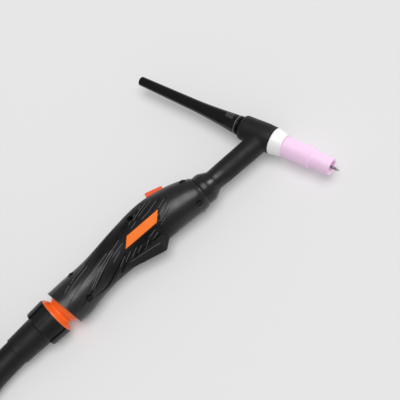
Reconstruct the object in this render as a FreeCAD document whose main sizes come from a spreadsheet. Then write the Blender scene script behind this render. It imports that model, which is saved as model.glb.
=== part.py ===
import FreeCAD, Part
import math
import os
import Sketcher

# Tig torch with an angled head, a two-shell grip, a ball-joint lead and a coiled hose bundle.
# The torch lies on its side. +X runs along the grip to the head, +Y is the trigger and cap side,
# +Z is up, and z = 0 is the bench, where the lower name plate rests with its centre at the origin.

doc = FreeCAD.newDocument("tig_torch")
sheet = doc.addObject("Spreadsheet::Sheet", "Sizes")

SIZES = {
    # Layout
    "rest_height": 20.5,
    "grip_front": 61.0,
    "grip_rear": 94.75,
    "neck_length": 74.5,
    "head_angle": 70.0,
    "fit_gap": 0.05,
    "loose_gap": 0.3,
    # Moulded head
    "head_front": 9.0,
    "head_rear": 23.0,
    "head_rear_radius": 11.3,
    "head_mid_radius": 12.6,
    "head_front_radius": 12.3,
    "head_round": 2.6,
    "neck_radius": 10.1,
    "neck_base_radius": 9.6,
    "bulb_radius": 13.9,
    "bulb_length": 15.0,
    "bulb_land": 7.0,
    "bulb_round": 7.0,
    "bulb_hollow": 3.0,
    "seam_radius": 13.3,
    "seam_groove": 0.8,
    "spigot_radius": 10.8,
    "spigot_length": 9.0,
    "neck_inset": 5.0,
    # Metal core of the head
    "core_radius": 8.0,
    "core_rear": 19.0,
    "core_thread_radius": 4.8,
    "core_bore_radius": 2.9,
    "core_thread_depth": 9.0,
    "cap_thread_radius": 6.1,
    "cap_thread_length": 12.0,
    "tube_inset": 5.2,
    "port_radius": 1.5,
    "tube_radius": 4.0,
    "tube_bore_radius": 2.5,
    "tube_tail": 32.0,
    # Front end
    "gasket_length": 11.5,
    "gasket_radius": 12.2,
    "gasket_front_radius": 10.35,
    "gasket_rim": 1.6,
    "gasket_bore_gap": 0.25,
    "gasket_round": 0.8,
    "nozzle_length": 47.0,
    "nozzle_radius": 9.6,
    "nozzle_front_radius": 8.0,
    "nozzle_step": 26.5,
    "nozzle_step_length": 1.6,
    "nozzle_mouth_radius": 5.6,
    "nozzle_thread_radius": 6.6,
    "nozzle_thread_length": 12.0,
    "nozzle_chamfer": 1.1,
    "nozzle_throat_length": 1.2,
    "mouth_round": 0.7,
    "body_flange_radius": 6.5,
    "body_flange_length": 11.0,
    "body_nose_radius": 4.6,
    "body_nose_length": 15.0,
    "body_bore_radius": 2.2,
    "body_tip_length": 3.0,
    "body_tip_bore_radius": 1.45,
    "body_tip_round": 1.2,
    "body_shoulder_length": 1.4,
    "diffuser_hole_radius": 0.65,
    "diffuser_hole_back": 3.6,
    "collet_radius": 2.1,
    "collet_bore_radius": 1.24,
    "collet_length": 52.6,
    "collet_slit": 0.35,
    "collet_slit_length": 15.0,
    "collet_nose_length": 1.2,
    "collet_nose_radius": 1.7,
    "electrode_radius": 1.2,
    "electrode_length": 150.0,
    "electrode_stickout": 7.6,
    "electrode_taper": 3.2,
    "electrode_tip_radius": 0.2,
    # Back cap
    "cap_length": 110.3,
    "cap_rim_radius": 9.0,
    "cap_rim_length": 2.4,
    "cap_flare_radius": 8.6,
    "cap_waist_radius": 5.6,
    "cap_flare_length": 42.0,
    "cap_flare_round": 300.0,
    "cap_rim_round": 0.5,
    "cap_tip_radius": 4.3,
    "cap_tip_round": 1.6,
    "cap_bore_radius": 2.4,
    "cap_end_wall": 4.0,
    "flute_radius": 2.3,
    "flute_depth": 0.95,
    "flute_start": 1.2,
    "flute_length": 28.0,
    "flute_count": 8,
    "ring_section": 0.9,
    # Grip
    "wall": 2.6,
    "front_wall": 2.8,
    "rib_place": 43.0,
    "rib_thickness": 3.0,
    "shelf_thickness": 1.6,
    "plate_length": 35.0,
    "plate_height": 8.6,
    "plate_slant": 8.0,
    "plate_thickness": 1.2,
    "plate_recess": 0.5,
    "plate_pad_margin": 1.3,
    "seat_depth": 6.0,
    "plate_bevel": 0.5,
    "groove_depth": 0.9,
    "groove_width": 1.1,
    # Finger stop under the grip: distances from the plate's centre and drops below the axis
    "stop_half": 10.0,
    "stop_draft": 21.8,
    "stop_round": 2.0,
    "stop_root": 16.0,
    "stop_root_drop": 12.0,
    "stop_toe": 12.2,
    "stop_toe_drop": 15.4,
    "stop_tip": 5.4,
    "stop_tip_drop": 21.2,
    "stop_back": 12.2,
    "stop_back_drop": 16.6,
    "stop_heel": 24.0,
    "stop_heel_drop": 13.4,
    "stop_tail": 38.0,
    "stop_tail_drop": 10.6,
    "stop_inner_drop": 7.4,
    "screw_radius": 1.5,
    "screw_head_radius": 2.6,
    "screw_head_height": 1.7,
    "screw_length": 14.0,
    "screw_recess_radius": 3.0,
    "screw_recess_floor": 7.6,
    "boss_radius": 4.2,
    # Trigger and switch
    "trigger_place": 30.0,
    "trigger_length": 16.6,
    "trigger_width": 9.0,
    "trigger_rise": 3.6,
    "trigger_front_rise": 2.0,
    "trigger_depth": 4.7,
    "trigger_lip": 1.6,
    "trigger_lip_height": 1.4,
    "trigger_slope": 12.0,
    "trigger_surface": 27.0,
    "trigger_gap": 0.35,
    "trigger_travel": 1.6,
    "trigger_round": 1.2,
    "switch_length": 19.8,
    "switch_width": 6.4,
    "switch_height": 9.0,
    "plunger_radius": 1.3,
    "plunger_height": 2.2,
    "plunger_back": 4.5,
    "plunger_socket": 4.0,
    "plunger_gap": 0.1,
    # Ball joint
    "tail_slant": 10.5,
    "ball_inset": 6.5,
    "ball_radius": 16.0,
    "seat_radius": 17.0,
    "socket_gap": 0.06,
    "lip_gap": 0.12,
    "lip_axial": 3.9,
    "seat_rear": 1.5,
    "seat_front": 9.4,
    "passage_radius": 11.8,
    "knuckle_bore": 9.6,
    "waist_radius": 11.4,
    "waist_axial": 11.9,
    "waist_round": 1.6,
    "knuckle_reach": 40.0,
    "disc_axial": 15.2,
    "disc_radius": 17.2,
    "disc_thickness": 1.3,
    "knuckle_yaw": 1.0,
    "knuckle_dip": 3.5,
    "shoulder_radius": 15.0,
    "shoulder_length": 5.5,
    "hose_spigot_radius": 10.9,
    "hose_spigot_length": 10.0,
    # Collar and boot
    "collar_length": 17.8,
    "collar_radius": 17.2,
    "collar_lobe": 1.2,
    "collar_lobe_angle": 26.0,
    "collar_lobe_count": 8,
    "collar_taper": 0.7,
    "collar_chamfer": 0.8,
    "boot_radius": 14.0,
    "boot_end_radius": 12.9,
    "boot_length": 40.0,
    "boot_overlap": 14.0,
    "boot_flange": 1.2,
    "boot_lip": 0.5,
    # Lead
    "sleeve_radius": 12.0,
    "cuff_radius": 14.0,
    "cuff_length": 34.0,
    "cuff_bevel": 1.5,
    "power_cable_radius": 6.0,
    "gas_hose_radius": 4.0,
    "control_cable_radius": 2.5,
    "inner_cable_radius": 4.4,
    "cable_start": 2.0,
    "cable_straight": 24.0,
    "cable_lead_in": 12.0,
    "crimp_radius": 5.4,
    "crimp_length": 16.0,
    "crimp_grip": 4.0,
    # Power plug
    "power_pin_radius": 6.5,
    "power_pin_length": 24.0,
    "power_waist_radius": 6.2,
    "power_waist_length": 13.5,
    "power_key_width": 4.0,
    "power_key_length": 6.0,
    "power_key_rise": 2.2,
    "power_key_back": 10.0,
    "power_body_radius": 13.0,
    "power_body_length": 42.0,
    "power_boot_radius": 8.5,
    "power_boot_length": 26.0,
    "plug_bevel": 1.5,
    "pin_bevel": 0.8,
    # Gas fitting
    "fitting_tip_radius": 3.6,
    "fitting_groove_radius": 2.9,
    "fitting_length": 22.0,
    "fitting_collar_radius": 6.0,
    "fitting_nut_radius": 7.0,
    "fitting_nut_length": 14.0,
    "fitting_bore_radius": 1.6,
    "fitting_flange": 3.0,
    "fitting_groove_start": 12.0,
    "fitting_groove_length": 3.0,
    # Control plug
    "control_body_radius": 8.2,
    "control_body_length": 30.0,
    "control_ring_radius": 9.4,
    "control_ring_length": 12.0,
    "control_pin_radius": 0.8,
    "control_pin_length": 8.0,
    "control_pin_circle": 5.0,
    "control_pin_count": 5,
    "control_cup_radius": 7.0,
    "control_cup_depth": 9.0,
    "control_boot_radius": 4.6,
    "control_boot_length": 16.0,
    # Coil of the stored length
    "coil_inner_turn": 124.0,
    "coil_bevel": 7.0,
    "coil_x": 345.0,
    "coil_y": 89.0,
}

# Stations of the grip, from the head seam to the tail: share of the front or rear length, height of
# the centre over the axis, half height and half thickness.
STATIONS = {
    "seam": (1.0, 1.0, 14.4, 14.0),
    "nose": (0.92, 1.5, 16.6, 15.4),
    "shoulder": (0.77, 3.8, 18.5, 16.4),
    "throat": (0.615, 5.5, 19.7, 17.0),
    "trigger": (0.36, 7.4, 20.8, 18.0),
    "crown": (0.07, 7.8, 20.9, 19.2),
    "plate": (-0.13, 7.1, 19.8, 19.2),
    "palm": (-0.32, 6.4, 18.2, 17.4),
    "heel": (-0.47, 5.3, 17.0, 16.6),
    "waist": (-0.62, 3.7, 17.0, 16.6),
    "flare": (-0.76, 2.0, 18.2, 17.8),
    "bell": (-0.88, 1.0, 19.0, 18.8),
    "rim": (-1.06, -0.9, 20.6, 20.3),
}

for station, (share, middle, tall, thick) in STATIONS.items():
    SIZES[station + "_middle"] = middle
    SIZES[station + "_tall"] = tall
    SIZES[station + "_thick"] = thick

for row, (alias, number) in enumerate(SIZES.items(), start=1):
    sheet.set("A%d" % row, alias.replace("_", " "))
    sheet.set("B%d" % row, str(number))
    sheet.setAlias("B%d" % row, alias)
doc.recompute()

ORIGIN = FreeCAD.Vector(0, 0, 0)
X_AXIS = FreeCAD.Vector(1, 0, 0)
Y_AXIS = FreeCAD.Vector(0, 1, 0)
Z_AXIS = FreeCAD.Vector(0, 0, 1)
FAR = 400.0


def size(alias):
    """Give the value of a named size."""
    return float(sheet.get(alias))


def is_number(word):
    return word.replace(".", "", 1).isdigit()


def total(text):
    """Add up a sum of named sizes and numbers, such as "nozzle_length - nozzle_step"."""
    amount = 0.0
    sign = 1.0
    for word in text.split():
        if word in "+-":
            sign = -1.0 if word == "-" else 1.0
        else:
            amount += sign * (float(word) if is_number(word) else size(word))
    return amount


def bound(text):
    """Write the same sum as an expression on the sheet."""
    words = [word if word in "+-" or is_number(word) else "Sizes." + word for word in text.split()]
    return " ".join(words)


def tie(item, **sums):
    """Bind properties of a document object to sums of named sizes."""
    for name, text in sums.items():
        item.setExpression(name, bound(text))
    return item


def add(kind, label):
    item = doc.addObject(kind, label)
    item.Label = label
    return item


# Outlines and the features made from them


def origin_plane(body, role):
    for item in body.Origin.OriginFeatures:
        if item.Role == role:
            return item
    raise ValueError("no plane " + role)


def pin_point(sketch, geometry, end, across, up):
    """Hold one end of a line, or a point, at two sums measured from the sketch's origin."""
    for kind, text, axis in (("DistanceX", across, -2), ("DistanceY", up, -1)):
        if text == "0":
            sketch.addConstraint(Sketcher.Constraint("PointOnObject", geometry, end, axis))
        else:
            index = sketch.addConstraint(Sketcher.Constraint(kind, -1, 1, geometry, end, total(text)))
            sketch.setExpression("Constraints[%d]" % index, bound(text))


def corner_arc(before, corner, after, radius):
    """Give the two tangent points and the arc that rounds a corner."""
    inward = (before - corner).normalize()
    outward = (after - corner).normalize()
    half = inward.getAngle(outward) / 2
    reach = radius / math.tan(half)
    centre = corner + (inward + outward).normalize() * (radius / math.sin(half))
    first = corner + inward * reach
    second = corner + outward * reach
    angles = [math.atan2(point.y - centre.y, point.x - centre.x) for point in (first, second)]
    turn = (angles[1] - angles[0]) % (2 * math.pi)
    forward = turn < math.pi
    low, high = angles if forward else angles[::-1]
    arc = Part.ArcOfCircle(Part.Circle(centre, Z_AXIS, radius), low, high)
    return first, second, arc, forward


def draw_outline(sketch, outline):
    """Draw a closed outline of straight runs. A corner's third word is the radius that rounds it."""
    points = [FreeCAD.Vector(total(corner[0]), total(corner[1]), 0) for corner in outline]
    count = len(points)
    starts = list(points)
    ends = list(points)
    arcs = {}
    for place, corner in enumerate(outline):
        if len(corner) == 3:
            before = points[place - 1]
            after = points[(place + 1) % count]
            first, second, arc, forward = corner_arc(before, points[place], after, total(corner[2]))
            ends[place] = first
            starts[place] = second
            arcs[place] = (arc, forward)
    lines = []
    for place in range(count):
        run = Part.LineSegment(starts[place], ends[(place + 1) % count])
        lines.append(sketch.addGeometry(run, False))
    for place, corner in enumerate(outline):
        incoming = lines[place - 1]
        outgoing = lines[place]
        if place not in arcs:
            sketch.addConstraint(Sketcher.Constraint("Coincident", incoming, 2, outgoing, 1))
            pin_point(sketch, outgoing, 1, corner[0], corner[1])
            continue
        arc, forward = arcs[place]
        curve = sketch.addGeometry(arc, False)
        near, far = (1, 2) if forward else (2, 1)
        sketch.addConstraint(Sketcher.Constraint("Tangent", incoming, 2, curve, near))
        sketch.addConstraint(Sketcher.Constraint("Tangent", curve, far, outgoing, 1))
        index = sketch.addConstraint(Sketcher.Constraint("Radius", curve, total(corner[2])))
        sketch.setExpression("Constraints[%d]" % index, bound(corner[2]))
        tip = sketch.addGeometry(Part.Point(points[place]), True)
        sketch.addConstraint(Sketcher.Constraint("PointOnObject", tip, 1, incoming))
        sketch.addConstraint(Sketcher.Constraint("PointOnObject", tip, 1, outgoing))
        pin_point(sketch, tip, 1, corner[0], corner[1])


def new_sketch(body, label, role="XY_Plane"):
    sketch = body.newObject("Sketcher::SketchObject", label)
    sketch.AttachmentSupport = [(origin_plane(body, role), "")]
    sketch.MapMode = "FlatFace"
    return sketch


def turned(label, outline, place):
    """Turn an outline of (axial, radius) corners about the body's own X axis."""
    body = add("PartDesign::Body", label)
    sketch = new_sketch(body, label + "_profile")
    draw_outline(sketch, outline)
    turn = body.newObject("PartDesign::Revolution", label + "_turn")
    turn.Profile = sketch
    turn.ReferenceAxis = (sketch, ["H_Axis"])
    turn.Angle = 360
    body.Tip = turn
    body.Placement = place
    return body


def padded(label, outline, height, place):
    """Pad an outline of (x, y) corners along the body's own Z axis."""
    body = add("PartDesign::Body", label)
    sketch = new_sketch(body, label + "_profile")
    draw_outline(sketch, outline)
    pad = body.newObject("PartDesign::Pad", label + "_pad")
    pad.Profile = sketch
    tie(pad, Length=height)
    body.Tip = pad
    body.Placement = place
    return body


def rod(label, radius, length, place):
    """A cylinder along the placement's own Z axis."""
    item = tie(add("Part::Cylinder", label), Radius=radius, Height=length)
    item.Placement = place
    return item


def ball(label, radius, place):
    item = tie(add("Part::Sphere", label), Radius=radius)
    item.Placement = place
    return item


def block(label, length, width, height, place):
    """A box that starts at the placement's corner."""
    item = tie(add("Part::Box", label), Length=length, Width=width, Height=height)
    item.Placement = place
    return item


def cut(label, base, tool):
    item = add("Part::Cut", label)
    item.Base = base
    item.Tool = tool
    return item


def fused(label, items):
    item = add("Part::MultiFuse", label)
    item.Shapes = items
    return item


def shared(label, items):
    item = add("Part::MultiCommon", label)
    item.Shapes = items
    return item


def held(label, shape, place=None):
    """A shape worked out from the sheet in this file's own code."""
    item = add("Part::Feature", label)
    item.Shape = shape
    if place is not None:
        item.Placement = place
    return item


# Frames that the pieces are placed in

MIDDLE = size("rest_height")
HEAD = FreeCAD.Vector(total("grip_front + neck_length"), 0, MIDDLE)
NOZZLE_WAY = FreeCAD.Rotation(Z_AXIS, -size("head_angle"))
SLANT = FreeCAD.Rotation(Z_AXIS, 180 + size("tail_slant"))
TAIL = FreeCAD.Vector(-size("grip_rear"), 0, MIDDLE)
BALL = TAIL - SLANT.multVec(X_AXIS) * size("ball_inset")
KNUCKLE_WAY = FreeCAD.Rotation(Z_AXIS, 180 + size("knuckle_yaw")).multiply(
    FreeCAD.Rotation(Y_AXIS, size("knuckle_dip")))
STAND_UP = FreeCAD.Rotation(Y_AXIS, 90)


def head_place(axial):
    """On the nozzle axis, with the own X axis toward the nozzle."""
    return FreeCAD.Placement(HEAD + NOZZLE_WAY.multVec(X_AXIS) * axial, NOZZLE_WAY)


def grip_place(across, up=0.0, depth=0.0):
    """Beside the grip's axis, with the own X axis toward the head."""
    return FreeCAD.Placement(FreeCAD.Vector(across, up, MIDDLE + depth), FreeCAD.Rotation())


def knuckle_place(axial):
    """On the lead's first axis, with the own X axis away from the ball's centre."""
    return FreeCAD.Placement(BALL + KNUCKLE_WAY.multVec(X_AXIS) * axial, KNUCKLE_WAY)


def tail_place(axial):
    """On the grip's tail axis, with the own X axis out of the tail."""
    return FreeCAD.Placement(BALL + SLANT.multVec(X_AXIS) * axial, SLANT)


def along(place):
    """The same place, with the own Z axis where X was, for rods."""
    return FreeCAD.Placement(place.Base, place.Rotation.multiply(STAND_UP))


KEPT = []


def keep(*items):
    """List the finished pieces that are written out."""
    KEPT.extend(items)
    return items[0]


# Moulded head with its metal core

barrel = turned("head_barrel", [
    ("0", "0"),
    ("0", "head_rear_radius", "head_round"),
    ("head_rear", "head_mid_radius"),
    ("head_rear + head_front", "head_front_radius"),
    ("head_rear + head_front", "0"),
], head_place(-size("head_rear")))

neck = turned("neck_moulding", [
    ("0", "0"),
    ("0", "seam_radius"),
    ("seam_groove", "bulb_radius"),
    ("bulb_land", "bulb_radius", "bulb_round"),
    ("bulb_length", "neck_base_radius", "bulb_hollow"),
    ("neck_length - neck_inset", "neck_radius"),
    ("neck_length - neck_inset", "0"),
], grip_place(size("grip_front")))

spigot = rod("neck_spigot", "spigot_radius", "spigot_length + bulb_land",
             along(grip_place(total("grip_front - spigot_length"))))

core_room = rod("core_room", "core_radius", "core_rear + head_front + loose_gap",
                along(head_place(-size("core_rear"))))
tube_room = rod("tube_room", "tube_radius", "grip_front + neck_length",
                along(grip_place(0)))
cap_room = rod("cap_room", "cap_thread_radius", "head_rear",
               along(head_place(-total("head_rear + loose_gap"))))
head_solid = fused("head_solid", [barrel, neck, spigot])
head_rooms = fused("head_rooms", [core_room, tube_room, cap_room])
keep(cut("torch_head_cover", head_solid, head_rooms))

core_turning = turned("core_turning", [
    ("0", "cap_thread_radius"),
    ("0", "core_radius"),
    ("core_rear + head_front", "core_radius"),
    ("core_rear + head_front", "core_thread_radius"),
    ("core_rear + head_front - core_thread_depth", "core_thread_radius"),
    ("core_rear + head_front - core_thread_depth", "core_bore_radius"),
    ("core_rear - head_rear + cap_thread_length + loose_gap", "core_bore_radius"),
    ("core_rear - head_rear + cap_thread_length + loose_gap", "cap_thread_radius"),
], head_place(-size("core_rear")))
tube_seat = rod("tube_seat", "tube_radius", "neck_length - tube_inset",
                along(grip_place(size("grip_front"))))
gas_port = rod("gas_port", "port_radius", "neck_length", along(grip_place(size("grip_front"))))
keep(cut("torch_head_core", core_turning, fused("core_drillings", [tube_seat, gas_port])))

keep(turned("neck_tube", [
    ("0", "tube_bore_radius"),
    ("0", "tube_radius"),
    ("grip_front + neck_length - tube_inset - tube_tail", "tube_radius"),
    ("grip_front + neck_length - tube_inset - tube_tail", "tube_bore_radius"),
], grip_place(size("tube_tail"))))

# Front end: gasket, collet body, collet, nozzle and electrode

keep(turned("cup_gasket", [
    ("0", "body_flange_radius + gasket_bore_gap"),
    ("0", "gasket_radius", "gasket_round"),
    ("gasket_rim", "gasket_radius"),
    ("gasket_length - fit_gap", "gasket_front_radius"),
    ("gasket_length - fit_gap", "body_flange_radius + gasket_bore_gap"),
], head_place(total("head_front + fit_gap"))))

flange_at = "head_front + gasket_length + loose_gap"
nose_at = flange_at + " + body_flange_length"
tip_at = nose_at + " + body_nose_length"
body_turning = turned("collet_body_turning", [
    ("0", "body_bore_radius"),
    ("0", "core_thread_radius - fit_gap"),
    (flange_at, "core_thread_radius - fit_gap"),
    (flange_at, "body_flange_radius"),
    (nose_at, "body_flange_radius"),
    (nose_at + " + body_shoulder_length", "body_nose_radius"),
    (tip_at, "body_nose_radius", "body_tip_round"),
    (tip_at, "body_tip_bore_radius"),
    (tip_at + " - body_tip_length", "body_tip_bore_radius"),
    (tip_at + " - body_tip_length - body_shoulder_length", "body_bore_radius"),
], head_place(0))
drillings = []
for index, turn in enumerate((0, 90)):
    place = head_place(total(nose_at + " + diffuser_hole_back"))
    place.Rotation = place.Rotation.multiply(FreeCAD.Rotation(X_AXIS, turn))
    place.Base = place.Base - place.Rotation.multVec(Z_AXIS) * size("body_flange_radius")
    drillings.append(rod("diffuser_hole_%d" % index, "diffuser_hole_radius",
                         "body_flange_radius + body_flange_radius", place))
keep(cut("collet_body", body_turning, fused("diffuser_holes", drillings)))

collet_front = total(tip_at + " - body_tip_length - body_shoulder_length")
collet_turning = turned("collet_turning", [
    ("0", "collet_bore_radius"),
    ("0", "collet_radius"),
    ("collet_length - collet_nose_length", "collet_radius"),
    ("collet_length", "collet_nose_radius"),
    ("collet_length", "collet_bore_radius"),
], head_place(collet_front - size("collet_length")))
slits = []
for index, turn in enumerate((0, 90)):
    place = head_place(collet_front - size("collet_slit_length"))
    place.Rotation = place.Rotation.multiply(FreeCAD.Rotation(X_AXIS, turn))
    corner = FreeCAD.Vector(0, -size("collet_radius") - size("fit_gap"), -size("collet_slit") / 2)
    place.Base = place.Base + place.Rotation.multVec(corner)
    slits.append(block("collet_slit_%d" % index, "collet_slit_length + fit_gap",
                       "collet_radius + collet_radius + fit_gap + fit_gap", "collet_slit", place))
keep(cut("collet", collet_turning, fused("collet_slits", slits)))

keep(turned("gas_nozzle", [
    ("0", "nozzle_thread_radius"),
    ("0", "nozzle_radius - nozzle_chamfer"),
    ("nozzle_chamfer", "nozzle_radius"),
    ("nozzle_step", "nozzle_radius"),
    ("nozzle_step + nozzle_step_length", "nozzle_front_radius"),
    ("nozzle_length", "nozzle_front_radius", "mouth_round"),
    ("nozzle_length", "nozzle_mouth_radius", "mouth_round"),
    ("nozzle_thread_length + nozzle_throat_length", "nozzle_mouth_radius"),
    ("nozzle_thread_length", "nozzle_thread_radius"),
], head_place(total("head_front + gasket_length + fit_gap"))))

mouth = total("head_front + gasket_length + nozzle_length")
keep(turned("tungsten_electrode", [
    ("0", "0"),
    ("0", "electrode_radius"),
    ("electrode_length - electrode_taper", "electrode_radius"),
    ("electrode_length", "electrode_tip_radius"),
    ("electrode_length", "0"),
], head_place(mouth + size("electrode_stickout") - size("electrode_length"))))

# Back cap, hollow for the electrode's tail, with its sealing ring

CAP_WAY = FreeCAD.Rotation(Z_AXIS, 180 - size("head_angle"))
cap_inner_end = HEAD - NOZZLE_WAY.multVec(X_AXIS) * total("head_rear - cap_thread_length")
rim_at = "cap_thread_length + ring_section + ring_section + fit_gap"
flare_at = rim_at + " + cap_rim_length"
cap_end = "cap_thread_length + cap_length"
cap = turned("back_cap", [
    ("0", "cap_bore_radius"),
    ("0", "cap_thread_radius - fit_gap"),
    (rim_at, "cap_thread_radius - fit_gap"),
    (rim_at, "cap_rim_radius", "cap_rim_round"),
    (flare_at, "cap_rim_radius", "cap_rim_round"),
    (flare_at, "cap_flare_radius"),
    ("cap_thread_length + cap_flare_length", "cap_waist_radius", "cap_flare_round"),
    (cap_end, "cap_tip_radius", "cap_tip_round"),
    (cap_end, "0"),
    (cap_end + " - cap_end_wall", "0"),
    (cap_end + " - cap_end_wall", "cap_bore_radius"),
], FreeCAD.Placement(cap_inner_end, CAP_WAY))

flute_sketch = new_sketch(cap, "flute_profile", "YZ_Plane")
flute_sketch.setExpression(".AttachmentOffset.Base.z", bound(flare_at + " + flute_start"))
flute_circle = Part.Circle(FreeCAD.Vector(0, total("cap_flare_radius + flute_radius - flute_depth"), 0),
                           Z_AXIS, size("flute_radius"))
flute = flute_sketch.addGeometry(flute_circle, False)
index = flute_sketch.addConstraint(Sketcher.Constraint("Radius", flute, size("flute_radius")))
flute_sketch.setExpression("Constraints[%d]" % index, bound("flute_radius"))
pin_point(flute_sketch, flute, 3, "0", "cap_flare_radius + flute_radius - flute_depth")
flute_cut = cap.newObject("PartDesign::Pocket", "flute_cut")
flute_cut.Profile = flute_sketch
flute_cut.Reversed = True
tie(flute_cut, Length="flute_length")
doc.recompute()
plain_volume = flute_cut.BaseFeature.Shape.Volume
flutes = cap.newObject("PartDesign::PolarPattern", "flutes")
flutes.Originals = [flute_cut]
flutes.Axis = (flute_sketch, ["N_Axis"])
flutes.Angle = 360
tie(flutes, Occurrences="flute_count")
cap.Tip = flutes
doc.recompute()
if not flutes.Shape.Volume < plain_volume - 1:
    raise ValueError("the flutes cut nothing")
keep(cap)

ring_side = "ring_section + ring_section - fit_gap"
keep(turned("back_cap_o_ring", [
    ("fit_gap", "cap_thread_radius + ring_section"),
    ("ring_section", "cap_thread_radius + fit_gap"),
    (ring_side, "cap_thread_radius + ring_section"),
    (ring_side, "cap_thread_radius + ring_section + fit_gap"),
    ("ring_section", "cap_thread_radius + ring_section + ring_section"),
    ("fit_gap", "cap_thread_radius + ring_section + fit_gap"),
], head_place(-total("head_rear + ring_section + ring_section"))))

# Grip: one lofted moulding, hollowed, ribbed, grooved and then split into two shells

ELLIPSE_WAY = FreeCAD.Rotation(Y_AXIS, Z_AXIS, X_AXIS, "ZXY")


def station_x(name):
    share = STATIONS[name][0]
    return share * (size("grip_front") if share > 0 else size("grip_rear"))


def lofted(label, inset, names, first_x=None):
    """Loft the grip's elliptical stations, each made smaller all round by a named inset."""
    rings = []
    for name in names:
        ring = tie(add("Part::Ellipse", "%s_%s" % (label, name)),
                   MajorRadius=name + "_tall - " + inset if inset else name + "_tall",
                   MinorRadius=name + "_thick - " + inset if inset else name + "_thick")
        across = station_x(name) if first_x is None or name != names[0] else first_x
        ring.Placement = FreeCAD.Placement(
            FreeCAD.Vector(across, size(name + "_middle"), MIDDLE), ELLIPSE_WAY)
        rings.append(ring)
    loft = add("Part::Loft", label)
    loft.Sections = rings
    loft.Solid = True
    return loft


def slab_beyond(label, place, way, thickness=FAR):
    """A large block whose near face passes through a place; way +1 fills the own +X side."""
    corner = FreeCAD.Vector(0 if way > 0 else -thickness, -FAR / 2, -FAR / 2)
    shape = Part.makeBox(thickness, FAR, FAR, corner)
    return held(label, shape, place)


def grip_piece(label, across, up, reach, height, depth):
    """A block inside the grip, given by its low corner and its length, height and thickness."""
    item = add("Part::Box", label)
    item.Length = reach
    item.Width = height
    item.Height = depth
    item.Placement = grip_place(across, up, -depth / 2)
    return item


all_stations = list(STATIONS)
outer = lofted("grip_outer", "", all_stations)
groove_floor = lofted("groove_floor", "groove_depth", all_stations)
cavity = lofted("grip_cavity", "wall", all_stations[:-2],
                first_x=total("grip_front - front_wall"))

# Finger stop under the grip, with its drafted flanks
STOP_OUTLINE = [
    ("stop_root", "- stop_inner_drop"),
    ("stop_root", "- stop_root_drop"),
    ("stop_toe", "- stop_toe_drop"),
    ("stop_tip", "- stop_tip_drop", "stop_round"),
    ("- stop_back", "- stop_back_drop"),
    ("- stop_heel", "- stop_heel_drop"),
    ("- stop_tail", "- stop_tail_drop"),
    ("- stop_tail", "- stop_inner_drop"),
]
stop_flanks = []
for side in ("upper", "lower"):
    flank = padded("stop_%s" % side, STOP_OUTLINE, "stop_half", grip_place(0))
    tie(flank.Tip, TaperAngle="- stop_draft")
    flank.Tip.Reversed = side == "lower"
    stop_flanks.append(flank)

# Raised seats of the name plates, one on each side
half = size("plate_length") / 2
rise = size("plate_height") / 2
lean = size("plate_slant") / 2


def plate_prism(margin, low, high):
    """The slanted block of a name plate, grown by a margin, between two heights from the split."""
    reach = half + margin * 1.4
    top = rise + margin
    corners = [(reach + lean, top), (lean - reach, top), (-reach - lean, -top), (reach - lean, -top)]
    points = [FreeCAD.Vector(across, up, low) for across, up in corners]
    return Part.Face(Part.makePolygon(points + points[:1])).extrude(Z_AXIS * (high - low))


plate_face = MIDDLE
plate_floor = plate_face - size("plate_thickness")
seat_face = plate_floor + size("plate_recess")
seat_root = seat_face - size("seat_depth")
seats = fused("plate_seats", [
    held("plate_seat_upper", plate_prism(size("plate_pad_margin"), seat_root, seat_face), grip_place(0)),
    held("plate_seat_lower", plate_prism(size("plate_pad_margin"), -seat_face, -seat_root), grip_place(0)),
])
plate_rooms = fused("plate_rooms", [
    held("plate_room_upper", plate_prism(size("fit_gap"), plate_floor, FAR), grip_place(0)),
    held("plate_room_lower", plate_prism(size("fit_gap"), -FAR, -plate_floor), grip_place(0)),
])

# Inner ribs, screw bosses and the shelf under the switch
SCREWS = [(52.5, -12.7), (54.0, 13.8), (0.3, -12.6), (-1.5, 16.6), (-72.0, -13.0), (-72.0, 15.6)]


def screw_place(spot, depth):
    return FreeCAD.Placement(FreeCAD.Vector(spot[0], spot[1], MIDDLE + depth), FreeCAD.Rotation())


def cylinders(label, radius, low, high):
    """One cylinder on each screw's axis, between two heights from the split."""
    rods = [Part.makeCylinder(radius, high - low, FreeCAD.Vector(spot[0], spot[1], MIDDLE + low))
            for spot in SCREWS]
    return held(label, Part.makeCompound(rods))


boss_reach = size("screw_recess_floor") + size("screw_head_height") + size("wall")
bosses = shared("screw_bosses", [
    groove_floor, cylinders("boss_rods", size("boss_radius"), -boss_reach, boss_reach)])
stop_solid = fused("finger_stop", stop_flanks)
rib_half = size("rib_thickness") / 2
rib = shared("tube_rib", [
    groove_floor, grip_piece("rib_slab", size("rib_place") - rib_half, -FAR / 2, 2 * rib_half, FAR, FAR)])

# The trigger's own frame: X along the grip's top line, Y out of the grip
trigger_way = FreeCAD.Rotation(Z_AXIS, -size("trigger_slope"))
trigger_spot = FreeCAD.Vector(size("trigger_place"), size("trigger_surface"), MIDDLE)


def trigger_frame(across, out, depth=0.0):
    """A place in the trigger's frame."""
    return FreeCAD.Placement(
        trigger_spot + trigger_way.multVec(FreeCAD.Vector(across, out, depth)), trigger_way)


def trigger_block(label, length, height, depth, out, across=0.0):
    """A block centred along and across the trigger, standing on a height in its frame."""
    shape = Part.makeBox(length, height, depth, FreeCAD.Vector(-length / 2 + across, out, -depth / 2))
    return held(label, shape, trigger_frame(0, 0))


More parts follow.
